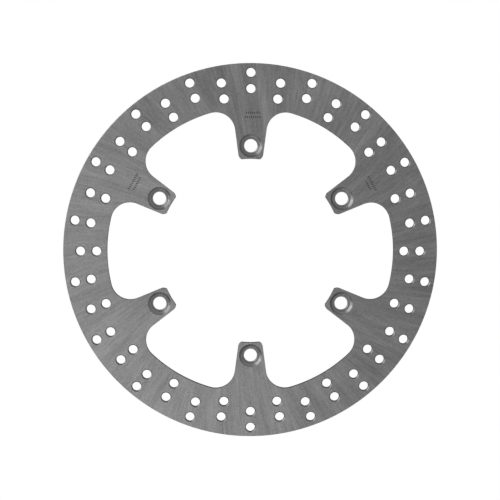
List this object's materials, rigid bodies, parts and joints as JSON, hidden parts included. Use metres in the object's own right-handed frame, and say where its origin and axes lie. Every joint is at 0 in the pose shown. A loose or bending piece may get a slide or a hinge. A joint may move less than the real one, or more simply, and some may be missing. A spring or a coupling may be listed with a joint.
{
  "type": "motorcycle brake disc rotor",
  "caption": "Fixed motorcycle brake disc rotor: a flat ground steel ring with drillings all round and mounting lugs that point inwards, each with a recessed bolt hole.",
  "frame": {"origin": "on the axis of rotation, in the plane of the face that sits against the wheel hub", "axes": "+Z along the axis of rotation, from the hub side to the side that the bolts go in from; +Y along one of the lugs"},
  "size_m": [0.32, 0.32, 0.005],
  "materials": {
    "ground_steel": "ground"
  },
  "bodies": {
    "root": {"rotor_plate": "ground_steel"}
  },
  "joints": []
}
